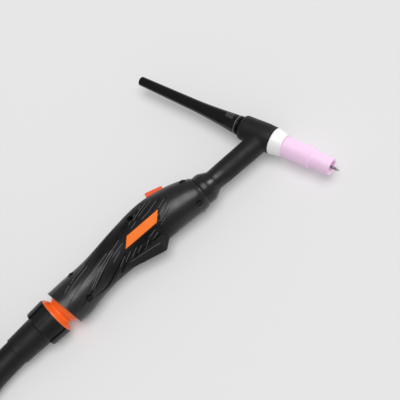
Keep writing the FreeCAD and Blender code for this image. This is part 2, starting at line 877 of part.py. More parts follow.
lip_floor = -total("trigger_depth + trigger_lip_height")
plunger_top = lip_floor - size("plunger_gap")
switch_top = plunger_top - size("plunger_height")
switch_floor = switch_top - size("switch_height")
slot_grow = 2 * size("trigger_gap")
trigger_slot = trigger_block("trigger_slot", size("trigger_length") + slot_grow, FAR,
                             size("trigger_width") + slot_grow, lip_floor)
lip_grow = 2 * size("trigger_lip") + slot_grow
lip_room = trigger_block("lip_room", size("trigger_length") + lip_grow,
                         size("trigger_lip_height") + size("trigger_gap") + size("trigger_travel"),
                         size("trigger_width") + lip_grow, lip_floor - size("trigger_travel") - 0.1)
switch_room = trigger_block("switch_room", size("switch_length") + size("fit_gap"),
                            size("switch_height") + FAR / 20, size("switch_width") + size("fit_gap"),
                            switch_floor)
shelf = shared("switch_shelf", [groove_floor, trigger_block(
    "shelf_slab", size("switch_length") + 2 * size("shelf_thickness"),
    size("shelf_thickness") + 4.0, FAR, switch_floor - size("shelf_thickness"))])

# The ball's socket in the tail: a lip close to the ball, and room for the seat ring before it
socket_radius = size("seat_radius") + size("socket_gap")
lip_radius = size("ball_radius") + size("lip_gap")
socket_zone = Part.makeSphere(socket_radius).common(
    Part.makeBox(FAR, FAR, FAR, FreeCAD.Vector(size("lip_axial") - FAR, -FAR / 2, -FAR / 2)))
passage = Part.makeCylinder(size("passage_radius"), socket_radius + size("wall"), ORIGIN, -X_AXIS)
mouth_cone = Part.makeCone(lip_radius * 0.9, lip_radius * 0.9 + 2.5, 2.5,
                           FreeCAD.Vector(size("ball_inset") - 1.2, 0, 0), X_AXIS)
socket = held("ball_socket", Part.makeSphere(lip_radius).fuse([socket_zone, passage, mouth_cone]),
              tail_place(0))
tail_cut = slab_beyond("tail_cut", tail_place(size("ball_inset")), 1)

# Screw clearance, recesses and thread bores: the heads sit on the upper shell's side
floor = size("screw_recess_floor")
screw_tip = floor - size("screw_length")
screw_rooms = [
    cylinders("screw_shank_rooms", size("screw_radius") + size("fit_gap"), -size("fit_gap"), FAR / 4),
    cylinders("screw_thread_rooms", size("screw_radius"), screw_tip - 0.5, 0),
    cylinders("screw_recesses", size("screw_recess_radius"), floor, FAR / 4),
]

# Grooves that fan from the tail past the plate: ends and bow of each lens-shaped cut
GROOVES = [
    ((-92, -8), (-34, 12), -1.2),
    ((-90, 3), (-40, 18), -1.0),
    ((-84, -15), (-26, 5), -1.6),
    ((-70, -14), (-20, -3), -1.6),
    ((-58, -13), (-16, -6), -1.4),
    ((-46, 14), (-16, 21), -0.6),
    ((-28, 7), (14, 22), 1.0),
    ((-20, 8), (20, 21), 1.2),
    ((-8, 7.5), (27, 19), 1.2),
    ((16, 6.5), (32, 14), 0.6),
    ((21, 2), (35, 10), 0.6),
    ((17, -5), (34, 5), 0.6),
    ((12, -8), (31, 0), 0.6),
    ((-14, -7), (2, -6), -0.4),
]


def groove_prism(start, finish, bow):
    """A lens between two arcs that share their ends, as deep as the grip is thick."""
    first = FreeCAD.Vector(start[0], start[1], -FAR / 10)
    last = FreeCAD.Vector(finish[0], finish[1], -FAR / 10)
    run = last - first
    side = FreeCAD.Vector(-run.y, run.x, 0).normalize()
    middle = (first + last) * 0.5 + side * bow
    edge = side * (size("groove_width") / 2)
    upper = Part.Arc(first, middle + edge, last).toShape()
    lower = Part.Arc(first, middle - edge, last).toShape()
    return Part.Face(Part.Wire([upper, lower])).extrude(Z_AXIS * (FAR / 5))


groove_prisms = held("groove_prisms", Part.makeCompound([groove_prism(*groove) for groove in GROOVES]),
                     grip_place(0))
groove_cutters = cut("groove_cutters", groove_prisms, groove_floor)
hollow = cut("grip_hollow", outer, cavity)
grooved = cut("grip_grooved", hollow, groove_cutters)
moulding = fused("grip_moulding", [grooved, stop_solid, seats, bosses, rib, shelf])
rooms = fused("grip_rooms", [
    rod("spigot_room", "spigot_radius + fit_gap", "grip_front",
        along(grip_place(total("grip_front - spigot_length - fit_gap")))),
    rod("tube_way", "tube_radius + fit_gap", "grip_front", along(grip_place(0))),
    rod("crimp_way", "crimp_radius + loose_gap", "crimp_length + loose_gap + loose_gap",
        along(grip_place(total("tube_tail - crimp_length + crimp_grip - loose_gap")))),
    trigger_slot, lip_room, switch_room, socket, tail_cut, plate_rooms, *screw_rooms,
])
grip = cut("grip_whole", moulding, rooms)
upper_half = grip_piece("upper_half", -FAR / 2, -FAR / 2, FAR, FAR, FAR)
upper_half.Placement.Base.z = MIDDLE
lower_half = grip_piece("lower_half", -FAR / 2, -FAR / 2, FAR, FAR, FAR)
lower_half.Placement.Base.z = MIDDLE - FAR
keep(shared("handle_shell_upper", [grip, upper_half]))
keep(shared("handle_shell_lower", [grip, lower_half]))

# Screws, name plates, trigger and switch

screw_parts = []
for spot in SCREWS:
    shank = Part.makeCylinder(size("screw_radius"), size("screw_length"),
                              FreeCAD.Vector(spot[0], spot[1], MIDDLE + screw_tip))
    head = Part.makeCylinder(size("screw_head_radius"), size("screw_head_height"),
                             FreeCAD.Vector(spot[0], spot[1], MIDDLE + floor))
    screw_parts.append(shank.fuse(head).removeSplitter())
keep(held("handle_screws", Part.makeCompound(screw_parts)))

for side, low in (("upper", plate_floor), ("lower", -plate_face)):
    plate = held("name_plate_" + side, plate_prism(0, low, low + size("plate_thickness")), grip_place(0))
    keep(plate)

TRIGGER_OUTLINE = [
    ("0", "0"),
    ("trigger_length", "0"),
    ("trigger_length", "trigger_depth + trigger_front_rise", "trigger_round"),
    ("0", "trigger_depth + trigger_rise", "trigger_round"),
]
trigger_stem = padded("trigger_stem", TRIGGER_OUTLINE, "trigger_width",
                      trigger_frame(-size("trigger_length") / 2, -size("trigger_depth"),
                                    -size("trigger_width") / 2))
trigger_lip = trigger_block("trigger_lip", size("trigger_length") + 2 * size("trigger_lip"),
                            size("trigger_lip_height"), size("trigger_width") + 2 * size("trigger_lip"),
                            lip_floor)
keep(fused("trigger_button", [trigger_stem, trigger_lip]))

plunger_way = trigger_frame(-size("plunger_back"), 0)
plunger_way = FreeCAD.Placement(plunger_way.Base, plunger_way.Rotation.multiply(
    FreeCAD.Rotation(X_AXIS, -90)))


def plunger_rod(label, radius, low, high):
    """A rod on the plunger's axis between two heights in the trigger's frame."""
    shape = Part.makeCylinder(radius, high - low, FreeCAD.Vector(0, 0, low))
    return held(label, shape, plunger_way)


switch_block = trigger_block("switch_block", size("switch_length"), size("switch_height"),
                             size("switch_width"), switch_floor)
plunger_room = plunger_rod("plunger_room", size("plunger_radius") + size("fit_gap"),
                           switch_top - size("plunger_socket") - size("trigger_travel") - 0.1,
                           switch_top + 1.0)
keep(cut("microswitch", switch_block, plunger_room))
keep(plunger_rod("switch_plunger", size("plunger_radius"), switch_top - size("plunger_socket"),
                 plunger_top))

# Cable and crimp inside the grip


def cord_path(label, points, diameter):
    """Straight runs joined by tangent arcs. Each arc takes 0.49 of its shorter run."""
    edges = []
    start = points[0]
    radii = []
    for before, corner, after in zip(points, points[1:], points[2:]):
        back = before - corner
        ahead = after - corner
        turn = math.pi - back.getAngle(ahead)
        reach = 0.49 * min(back.Length, ahead.Length)
        radii.append(reach / math.tan(turn / 2))
        first = corner + FreeCAD.Vector(back).normalize() * reach
        last = corner + FreeCAD.Vector(ahead).normalize() * reach
        bisector = (FreeCAD.Vector(back).normalize() + FreeCAD.Vector(ahead).normalize()).normalize()
        rise = radii[-1] / math.cos(turn / 2) - radii[-1]
        edges.append(Part.LineSegment(start, first).toShape())
        edges.append(Part.Arc(first, corner + bisector * rise, last).toShape())
        start = last
    edges.append(Part.LineSegment(start, points[-1]).toShape())
    path = Part.Wire(edges)
    smallest = min(radii)
    print("%s: length %.0f mm, smallest bend %.0f mm, %.1f diameters, radii %s" % (
        label, path.Length, smallest, smallest / diameter, [round(radius) for radius in radii]))
    if smallest < 5 * diameter:
        raise ValueError(label + " bends too tightly")
    return path


def cord_tube(label, points, radius):
    """Sweep the cord's round section along its path and compare the volume."""
    path = cord_path(label, points, 2 * radius)
    section = Part.Face(Part.Wire([Part.Circle(points[0], points[1] - points[0], radius).toShape()]))
    tube = path.makePipe(section)
    expected = math.pi * radius ** 2 * path.Length
    if abs(tube.Volume / expected - 1) > 0.01:
        raise ValueError(label + " has the wrong volume")
    return keep(held(label, tube))


# The cable leaves the ball along the tail's own slant, so that it clears the bore as the ball swings
cable_finish = FreeCAD.Vector(total("tube_tail - loose_gap"), 0, MIDDLE)
crimp_start = total("tube_tail - crimp_length + crimp_grip")
CABLE_ROUTE = [
    BALL - SLANT.multVec(X_AXIS) * size("cable_start"),
    BALL - SLANT.multVec(X_AXIS) * size("cable_straight"),
    FreeCAD.Vector(crimp_start - size("cable_lead_in"), 0, MIDDLE),
    cable_finish,
]
cord_tube("inner_power_cable", CABLE_ROUTE, size("inner_cable_radius"))
crimp_sleeve = rod("crimp_sleeve", "crimp_radius", "crimp_length", along(grip_place(crimp_start)))
crimp_rooms = fused("crimp_rooms", [
    rod("crimp_tube_room", "tube_radius", "crimp_length", along(grip_place(size("tube_tail") - 0.3))),
    rod("crimp_cable_room", "inner_cable_radius", "tube_tail - loose_gap",
        along(FreeCAD.Placement(FreeCAD.Vector(0, 0, MIDDLE), FreeCAD.Rotation()))),
])
keep(cut("cable_crimp", crimp_sleeve, crimp_rooms))

# Ball joint: seat ring, knuckle, collar and boot

ring_low = Part.makeBox(FAR, FAR, FAR, FreeCAD.Vector(-size("seat_rear") - FAR, -FAR / 2, -FAR / 2))
ring_high = Part.makeBox(FAR, FAR, FAR, FreeCAD.Vector(-size("seat_front"), -FAR / 2, -FAR / 2))
seat_shape = Part.makeSphere(size("seat_radius")).cut(
    Part.makeSphere(size("ball_radius") + size("fit_gap"))).common(ring_low).common(ring_high)
keep(held("ball_seat_ring", seat_shape, tail_place(0)))

knuckle_ball = ball("knuckle_ball", "ball_radius", knuckle_place(0))
knuckle_neck = turned("knuckle_neck", [
    ("0", "0"),
    ("0", "waist_radius"),
    ("waist_axial", "waist_radius", "waist_round"),
    ("disc_axial", "disc_radius"),
    ("disc_axial + disc_thickness", "disc_radius"),
    ("disc_axial + disc_thickness", "shoulder_radius"),
    ("disc_axial + disc_thickness + shoulder_length", "shoulder_radius"),
    ("disc_axial + disc_thickness + shoulder_length", "hose_spigot_radius"),
    ("disc_axial + disc_thickness + shoulder_length + hose_spigot_length", "hose_spigot_radius"),
    ("disc_axial + disc_thickness + shoulder_length + hose_spigot_length", "0"),
], knuckle_place(0))
bore_start = knuckle_place(-size("ball_radius"))
knuckle_bore = rod("knuckle_bore_room", "knuckle_bore", "ball_radius + ball_radius + knuckle_reach",
                   along(bore_start))
keep(cut("ball_knuckle", fused("knuckle_solid", [knuckle_ball, knuckle_neck]), knuckle_bore))

collar_axial = total("disc_axial + disc_thickness + fit_gap")
collar_turning = turned("collar_turning", [
    ("0", "shoulder_radius + fit_gap"),
    ("0", "collar_radius - collar_chamfer"),
    ("collar_chamfer", "collar_radius"),
    ("collar_length - collar_chamfer", "collar_radius - collar_taper"),
    ("collar_length", "collar_radius - collar_taper - collar_chamfer"),
    ("collar_length", "boot_radius + loose_gap"),
    ("shoulder_length + boot_flange", "boot_radius + loose_gap"),
    ("shoulder_length + boot_flange", "shoulder_radius + fit_gap"),
], knuckle_place(collar_axial))
lobe_outer = turned("lobe_outer", [
    ("0", "shoulder_radius + fit_gap"),
    ("0", "collar_radius + collar_lobe - collar_chamfer"),
    ("collar_chamfer", "collar_radius + collar_lobe"),
    ("collar_length - collar_chamfer", "collar_radius + collar_lobe - collar_taper"),
    ("collar_length", "collar_radius + collar_lobe - collar_taper - collar_chamfer"),
    ("collar_length", "shoulder_radius + fit_gap"),
], knuckle_place(collar_axial))
lobe_count = int(size("collar_lobe_count"))
lobe_angle = math.radians(size("collar_lobe_angle"))
wedges = []
for index in range(lobe_count):
    middle = 2 * math.pi * index / lobe_count
    corners = [ORIGIN] + [
        FreeCAD.Vector(0, FAR / 4 * math.cos(middle + shift), FAR / 4 * math.sin(middle + shift))
        for shift in (-lobe_angle / 2, lobe_angle / 2)]
    wedges.append(Part.Face(Part.makePolygon(corners + [ORIGIN])).extrude(X_AXIS * size("collar_length")))
lobes = shared("collar_lobes", [
    lobe_outer, held("lobe_wedges", Part.makeCompound(wedges), knuckle_place(collar_axial))])
keep(fused("collar_nut", [collar_turning, lobes]))

boot_axial = total("disc_axial + disc_thickness + shoulder_length + fit_gap")
keep(turned("sleeve_boot", [
    ("0", "hose_spigot_radius + fit_gap"),
    ("0", "boot_radius"),
    ("collar_length - shoulder_length", "boot_radius"),
    ("boot_length", "boot_end_radius", "boot_lip"),
    ("boot_length", "sleeve_radius"),
    ("boot_length - boot_overlap", "sleeve_radius"),
    ("boot_length - boot_overlap", "hose_spigot_radius + fit_gap"),
], knuckle_place(boot_axial)))
boot_end = knuckle_place(boot_axial + size("boot_length") - size("boot_overlap"))

# Lead: the sleeve's route, the coil of its stored length, and three tails with their plugs

COIL_CENTRE = FreeCAD.Vector(-size("coil_x"), size("coil_y"), 0)


def coil_point(radius, degrees, height):
    """A point beside the coil's axis."""
    angle = math.radians(degrees)
    return COIL_CENTRE + FreeCAD.Vector(radius * math.cos(angle), radius * math.sin(angle), height)


def facing(start, toward):
    """A level place at a cord's end, with the own X axis along the cord's last run."""
    run = toward - start
    return FreeCAD.Placement(toward, FreeCAD.Rotation(Z_AXIS, math.degrees(math.atan2(run.y, run.x))))


outer_turn = total("coil_inner_turn + sleeve_radius + sleeve_radius")
LEAD_ROUTE = [
    boot_end.Base,
    knuckle_place(boot_axial + size("boot_length") + size("sleeve_radius")).Base,
    FreeCAD.Vector(-190.5, -3.5, 14),
    FreeCAD.Vector(-217.4, -11, 12.6),
    FreeCAD.Vector(-247, -24, 12),
    coil_point(outer_turn, -64, size("sleeve_radius")),
]
cord_tube("lead_sleeve", LEAD_ROUTE, size("sleeve_radius"))

coil_top = "sleeve_radius + sleeve_radius + sleeve_radius + sleeve_radius"
coil_low = "coil_inner_turn - sleeve_radius"
coil_high = "coil_inner_turn + sleeve_radius + sleeve_radius + sleeve_radius"
keep(turned("lead_coil", [
    ("coil_bevel", coil_low),
    ("0", coil_low + " + coil_bevel"),
    ("0", coil_high + " - coil_bevel"),
    ("coil_bevel", coil_high),
    (coil_top + " - coil_bevel", coil_high),
    (coil_top, coil_high + " - coil_bevel"),
    (coil_top, coil_low + " + coil_bevel"),
    (coil_top + " - coil_bevel", coil_low),
], FreeCAD.Placement(COIL_CENTRE, FreeCAD.Rotation(Y_AXIS, -90))))

# The last turn rises out of the coil and lies on top of it
COIL_EXIT = [(146.7, 127.7, 43.8), (141.2, 108.8, 52.4), (136, 90.8, 57.2), (136, 79.2, 57.2),
             (136, 67.7, 57.2), (136, 56.1, 57.2), (136, 44.5, 57.2), (136, 33, 57.2),
             (136, 21.4, 57.2), (135.8, 9.8, 57.2), (135.4, -1.8, 58.8), (134.7, -13.3, 60.4),
             (133.7, -24.9, 62), (132.9, -36, 62)]
exit_route = [coil_point(*spot) for spot in COIL_EXIT]
cord_tube("lead_coil_exit", exit_route, size("sleeve_radius"))
cuff_place = facing(exit_route[-2], exit_route[-1])

# Each tail: radius, offset across and up where it leaves the cuff, and its route on the coil
TAILS = {
    "power_cable_tail": ("power_cable_radius", -6.2, -2.6, [
        (143.5, -64.3, 58), (145.6, -72.9, 55.5), (143.5, -81.6, 54.2), (139.8, -90.4, 54.2),
        (137, -99.4, 54.2), (135.4, -108.6, 54.2), (134.7, -118, 54.2), (134.4, -127.3, 54.2),
        (134.2, -136.7, 57.4), (131.3, -146.1, 61.2), (125.5, -155.6, 61.2)]),
    "gas_hose_tail": ("gas_hose_radius", 7.6, -2.6, [
        (155.2, -61.7, 57.5), (155.8, -69.7, 54), (154.2, -78.2, 52.2), (153, -86.4, 52.2),
        (152.3, -94.7, 52.2), (151.9, -103, 52.2), (151.7, -111.6, 53.9), (151.3, -119.9, 55.2),
        (150.2, -128.3, 55.2)]),
    "control_cable_tail": ("control_cable_radius", 1.0, 8.2, [
        (146.8, -63.5, 70.2), (139.1, -72, 69.1), (127.1, -80.5, 65.2), (118.3, -89.9, 60.7),
        (112.8, -101, 57.8), (109.7, -112.8, 57.6), (106, -124.8, 57.6)]),
}
cuff_end = cuff_place.Base + cuff_place.Rotation.multVec(X_AXIS) * size("cuff_length")
cuff_rooms = []
tail_ends = {}
for name, (radius, across, up, spots) in TAILS.items():
    exit_point = cuff_end + cuff_place.Rotation.multVec(FreeCAD.Vector(-8, across, up))
    straight = cuff_end + cuff_place.Rotation.multVec(FreeCAD.Vector(12, across, up))
    route = [exit_point, straight] + [coil_point(*spot) for spot in spots]
    cord_tube(name, route, size(radius))
    tail_ends[name] = facing(route[-2], route[-1])
    cuff_rooms.append(rod("cuff_room_" + name, radius, "cuff_length", along(
        FreeCAD.Placement(exit_point, cuff_place.Rotation))))

cuff = turned("cuff_turning", [
    ("0", "0"),
    ("0", "cuff_radius - cuff_bevel"),
    ("cuff_bevel", "cuff_radius"),
    ("cuff_length - cuff_bevel", "cuff_radius"),
    ("cuff_length", "cuff_radius - cuff_bevel"),
    ("cuff_length", "0"),
], cuff_place)
keep(cut("lead_end_cuff", cuff, fused("cuff_rooms", cuff_rooms)))

# Power plug: insulated body, and a brass pin with a bayonet key behind its free front
power_place = tail_ends["power_cable_tail"]
keep(turned("power_plug_body", [
    ("0", "0"),
    ("0", "power_boot_radius - plug_bevel"),
    ("plug_bevel", "power_boot_radius"),
    ("power_boot_length", "power_boot_radius + plug_bevel"),
    ("power_boot_length + plug_bevel", "power_body_radius"),
    ("power_boot_length + power_body_length - plug_bevel", "power_body_radius"),
    ("power_boot_length + power_body_length", "power_body_radius - plug_bevel"),
    ("power_boot_length + power_body_length", "0"),
], power_place))
pin_base = power_place.multiply(FreeCAD.Placement(
    X_AXIS * total("power_boot_length + power_body_length"), FreeCAD.Rotation()))
power_pin = turned("power_pin_turning", [
    ("0", "0"),
    ("0", "power_waist_radius"),
    ("power_waist_length", "power_waist_radius"),
    ("power_waist_length", "power_pin_radius"),
    ("power_pin_length - pin_bevel", "power_pin_radius"),
    ("power_pin_length", "power_pin_radius - pin_bevel"),
    ("power_pin_length", "0"),
], pin_base)
key_shape = Part.makeBox(size("power_key_length"), size("power_key_width"),
                         size("power_pin_radius") + size("power_key_rise"),
                         FreeCAD.Vector(size("power_key_back") - size("power_key_length"),
                                        -size("power_key_width") / 2, 0))
keep(fused("power_plug_pin", [power_pin, held("power_key", key_shape, pin_base)]))

# Gas fitting: a crimped ferrule and a grooved nipple for a quick coupling
gas_place = tail_ends["gas_hose_tail"]
keep(turned("gas_hose_ferrule", [
    ("0", "0"),
    ("0", "fitting_collar_radius"),
    ("fitting_nut_length - pin_bevel", "fitting_nut_radius"),
    ("fitting_nut_length", "fitting_nut_radius - pin_bevel"),
    ("fitting_nut_length", "0"),
], gas_place))
nipple_place = gas_place.multiply(FreeCAD.Placement(X_AXIS * size("fitting_nut_length"),
                                                    FreeCAD.Rotation()))
keep(turned("gas_nipple", [
    ("0", "fitting_bore_radius"),
    ("0", "fitting_collar_radius"),
    ("fitting_flange", "fitting_collar_radius"),
    ("fitting_flange", "fitting_tip_radius"),
    ("fitting_groove_start", "fitting_tip_radius"),
    ("fitting_groove_start", "fitting_groove_radius"),
    ("fitting_groove_start + fitting_groove_length", "fitting_groove_radius"),
    ("fitting_groove_start + fitting_groove_length", "fitting_tip_radius"),
    ("fitting_length - pin_bevel", "fitting_tip_radius"),
    ("fitting_length", "fitting_tip_radius - pin_bevel"),
    ("fitting_length", "fitting_bore_radius"),
], nipple_place))

# Control plug: body with a pin cup, a free-turning locking ring and five pins
control_place = tail_ends["control_cable_tail"]
cup_floor = "control_boot_length + control_body_length - control_cup_depth"
keep(turned("control_plug_body", [
    ("0", "0"),
    ("0", "control_boot_radius - pin_bevel"),
    ("pin_bevel", "control_boot_radius"),
    ("control_boot_length", "control_boot_radius + plug_bevel"),
    ("control_boot_length", "control_body_radius"),
    ("control_boot_length + control_body_length", "control_body_radius"),
    ("control_boot_length + control_body_length", "control_cup_radius"),
    (cup_floor, "control_cup_radius"),
    (cup_floor, "0"),
], control_place))
ring_start = "control_boot_length + control_body_length - control_ring_length"
keep(turned("control_plug_ring", [
    (ring_start, "control_body_radius + fit_gap"),
    (ring_start, "control_ring_radius"),
    ("control_boot_length + control_body_length", "control_ring_radius"),
    ("control_boot_length + control_body_length", "control_body_radius + fit_gap"),
], control_place))
pins = []
pin_count = int(size("control_pin_count"))
for index in range(pin_count):
    angle = math.radians(60 * index - 120)
    spot = FreeCAD.Vector(total(cup_floor), size("control_pin_circle") * math.cos(angle),
                          size("control_pin_circle") * math.sin(angle))
    pins.append(Part.makeCylinder(size("control_pin_radius"), size("control_pin_length"), spot, X_AXIS))
keep(held("control_plug_pins", Part.makeCompound(pins), control_place))

# Checks and output

doc.recompute()
for item in doc.Objects:
    faults = [word for word in item.State if word in ("Invalid", "Error")]
    if faults:
        raise ValueError("%s is %s" % (item.Label, faults))
os.makedirs("parts", exist_ok=True)
for item in KEPT:
    shape = item.Shape
    if shape.isNull() or not shape.isValid():
        raise ValueError(item.Label + " has no valid shape")
    shape.exportStep("parts/%s.step" % item.Label)
    print(item.Label, "solids", len(shape.Solids), "volume", round(shape.Volume, 1))
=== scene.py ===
import math

import bpy
from mathutils import Matrix, Vector
from mathutils.bvhtree import BVHTree


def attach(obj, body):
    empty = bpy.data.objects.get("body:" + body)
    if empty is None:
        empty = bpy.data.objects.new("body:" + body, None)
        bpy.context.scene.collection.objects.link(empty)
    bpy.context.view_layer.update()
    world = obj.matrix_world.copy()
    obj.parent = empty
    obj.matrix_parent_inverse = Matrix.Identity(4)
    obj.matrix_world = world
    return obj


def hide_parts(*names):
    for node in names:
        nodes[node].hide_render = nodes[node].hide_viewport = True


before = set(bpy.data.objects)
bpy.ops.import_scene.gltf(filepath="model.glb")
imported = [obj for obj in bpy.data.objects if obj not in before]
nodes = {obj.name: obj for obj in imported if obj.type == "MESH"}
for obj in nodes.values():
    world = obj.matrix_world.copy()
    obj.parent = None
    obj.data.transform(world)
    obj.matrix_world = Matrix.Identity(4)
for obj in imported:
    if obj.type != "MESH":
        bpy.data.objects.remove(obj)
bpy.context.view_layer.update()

# Camera: the photograph's viewing angle, looking down at the torch on its side

EYE = Vector((-0.0210, -0.4355, 0.9678))
AIM = Vector((0.0556, -0.0057, 0.0205))
ROLL = math.radians(-31.52)
LENS = 107.3
SENSOR = 36.0


def make_camera():
    data = bpy.data.cameras.new("camera")
    data.lens = LENS
    data.sensor_width = SENSOR
    data.clip_start = 0.05
    data.clip_end = 20.0
    camera = bpy.data.objects.new("camera", data)
    bpy.context.scene.collection.objects.link(camera)
    back = (EYE - AIM).normalized()
    level = Vector((0, 0, 1)).cross(back).normalized()
    rise = back.cross(level)
    right = level * math.cos(ROLL) + rise * math.sin(ROLL)
    up = rise * math.cos(ROLL) - level * math.sin(ROLL)
    turn = Matrix((right, up, back)).transposed()
    camera.matrix_world = Matrix.Translation(EYE) @ turn.to_4x4()
    bpy.context.scene.camera = camera


# Back cap's axis, from its seat on the head, and its satin flat with a painted highlight: the way that the
# flat faces, where it starts and ends along the axis, how soft those ends are, and how far out from the
# axis it lies

CAP_SEAT = (0.127634, 0.021613, 0.0205)
CAP_WAY = (-0.34202, 0.939693, 0.0)
CAP_SIDE = (0.939693, 0.34202, 0.0)
FLAT_WAY = (0.47, 0.17, 0.866)
FLAT_START, FLAT_END, FLAT_BLEND = 0.0090, 0.0170, 0.0005
FLAT_INNER, FLAT_OUTER = 0.0066, 0.0070

# Materials

ALONG_X = (1.0, 0.0, 0.0)
MIX_FACTOR, MIX_COLOURS, MIX_RESULT = 0, (6, 7), 2
FINE_GRAIN = 0.00006


class Paint:
    """A node material: the Principled shader and short calls that wire textures into it."""

    def __init__(self, name, colour, roughness, metallic=0.0, specular=0.5):
        self.made = bpy.data.materials.new(name)
        self.made.use_nodes = True
        self.tree = self.made.node_tree
        self.shader = self.tree.nodes["Principled BSDF"]
        self.set("Base Color", (*colour, 1.0))
        self.set("Roughness", roughness)
        self.set("Metallic", metallic)
        self.set("Specular IOR Level", specular)
        self.colour = colour
        self.normal = None
        self.place = self.node("ShaderNodeTexCoord").outputs["Object"]

    def set(self, socket, value):
        self.shader.inputs[socket].default_value = value

    def node(self, kind, **values):
        made = self.tree.nodes.new(kind)
        for name, value in values.items():
            setattr(made, name, value)
        return made

    def link(self, source, target):
        self.tree.links.new(source, target)

    def noise(self, scale, detail=3.0, stretch=None, rough=0.5):
        """A noise texture in metres. stretch scales it along X, Y and Z."""
        texture = self.node("ShaderNodeTexNoise")
        texture.inputs["Scale"].default_value = scale
        texture.inputs["Detail"].default_value = detail
        texture.inputs["Roughness"].default_value = rough
        place = self.place
        if stretch:
            mapping = self.node("ShaderNodeMapping")
            mapping.inputs["Scale"].default_value = stretch
            self.link(place, mapping.inputs["Vector"])
            place = mapping.outputs["Vector"]
        self.link(place, texture.inputs["Vector"])
        return texture.outputs["Fac"]

    def spread(self, value, low, high, start=0.35, finish=0.65):
        """Bring a texture's middle range to a range of its own."""
        made = self.node("ShaderNodeMapRange")
        ends = {"From Min": start, "From Max": finish, "To Min": low, "To Max": high}
        for socket, number in ends.items():
            made.inputs[socket].default_value = number
        self.link(value, made.inputs["Value"])
        return made.outputs["Result"]

    def mix(self, share, first, second):
        made = self.node("ShaderNodeMix", data_type="RGBA")
        for socket, value in zip(MIX_COLOURS, (first, second)):
            if isinstance(value, tuple):
                made.inputs[socket].default_value = (*value, 1.0)
            else:
                self.link(value, made.inputs[socket])
        self.link(share, made.inputs[MIX_FACTOR])
        return made.outputs[MIX_RESULT]

    def product(self, first, second):
        made = self.node("ShaderNodeMath", operation="MULTIPLY")
        self.link(first, made.inputs[0])
        self.link(second, made.inputs[1])
        return made.outputs[0]

    def tint(self, share, other):
        """Blend the base colour toward another by a texture, over what is there already."""
        socket = self.shader.inputs["Base Color"]
        current = socket.links[0].from_socket if socket.links else self.colour
        self.link(self.mix(share, current, other), socket)

    def wear(self, other, amount):
        """Lighten the convex edges where handling polishes them."""
        convex = self.node("ShaderNodeNewGeometry").outputs["Pointiness"]
        edge = self.spread(convex, 0.0, amount, 0.53, 0.62)
        broken = self.spread(self.noise(260.0), 0.0, 1.0)
        self.tint(self.product(edge, broken), other)

    def roughen(self, low, high, scale=90.0, detail=4.0, stretch=None):
        uneven = self.spread(self.noise(scale, detail, stretch), low, high)
        self.link(uneven, self.shader.inputs["Roughness"])

    def along(self, way, start=(0.0, 0.0, 0.0)):
        """Distance along a direction from a start, in metres."""
        offset = self.node("ShaderNodeVectorMath", operation="SUBTRACT")
        self.link(self.place, offset.inputs[0])
        offset.inputs[1].default_value = start
        made = self.node("ShaderNodeVectorMath", operation="DOT_PRODUCT")
        self.link(offset.outputs["Vector"], made.inputs[0])
        made.inputs[1].default_value = way
        return made.outputs["Value"]

    def window(self, value, opening, closing, blend):
        """1 between two values and 0 outside them, with soft ends."""
        return self.product(self.spread(value, 0.0, 1.0, opening - blend, opening + blend),
                            self.spread(value, 1.0, 0.0, closing - blend, closing + blend))

    def dull_between(self, opening, closing, blend, polished, dull):
        """A dull zone along X with polished ends. Both finishes are (roughness, specular level)."""
        zone = self.window(self.along(ALONG_X), opening, closing, blend)
        uneven = self.spread(self.noise(90.0, 4.0), 0.85, 1.2)
        roughness = self.spread(zone, polished[0], dull[0], 0.0, 1.0)
        shine = self.spread(zone, polished[1], dull[1], 0.0, 1.0)
        self.link(self.product(roughness, uneven), self.shader.inputs["Roughness"])
        self.link(shine, self.shader.inputs["Specular IOR Level"])

    def soften(self, radius):
        """Round the look of shallow steps in a soft skin, without moving them."""
        made = self.node("ShaderNodeBevel", samples=12)
        made.inputs["Radius"].default_value = radius
        self.normal = made.outputs["Normal"]

    def bump(self, height, strength, distance):
        made = self.node("ShaderNodeBump")
        made.inputs["Strength"].default_value = strength
        made.inputs["Distance"].default_value = distance
        self.link(height, made.inputs["Height"])
        if self.normal:
            self.link(self.normal, made.inputs["Normal"])
        self.normal = made.outputs["Normal"]
        self.link(self.normal, self.shader.inputs["Normal"])


def moulded_black(name, shade, roughness, grain, strength, specular=0.5, soft=0.0):
    """Black moulded plastic or rubber: a fine grain and a broad cloudy sheen."""
    paint = Paint(name, (shade, shade, shade * 1.05), roughness, specular=specular)
    if soft:
        paint.soften(soft)
    cloudy = (shade * 1.5, shade * 1.5, shade * 1.6)
    paint.tint(paint.spread(paint.noise(35.0, 4.0), 0.0, 0.5), cloudy)
    paint.roughen(roughness - 0.07, roughness + 0.08)
    paint.bump(paint.noise(grain, 2.0), strength, FINE_GRAIN)
    return paint


def grip_plastic():
    """The shells: handled edges, polished ends and a duller middle where the lines are."""
    paint = moulded_black("grip_plastic", 0.0075, 0.31, 3200.0, 0.30, 0.55)
    paint.wear((0.06, 0.06, 0.063), 0.5)
    paint.dull_between(-0.054, 0.024, 0.012, (0.30, 0.5), (0.46, 0.16))
    return paint.made


def head_rubber():
    """The head and neck: a polished bulb by the grip, and a duller skin beyond it."""
    paint = moulded_black("head_rubber", 0.0075, 0.31, 1800.0, 0.16, 0.36, soft=0.006)
    paint.bump(paint.noise(140.0, 2.0), 0.20, 0.0006)
    paint.dull_between(0.083, 0.300, 0.005, (0.25, 0.42), (0.48, 0.28))
    return paint.made


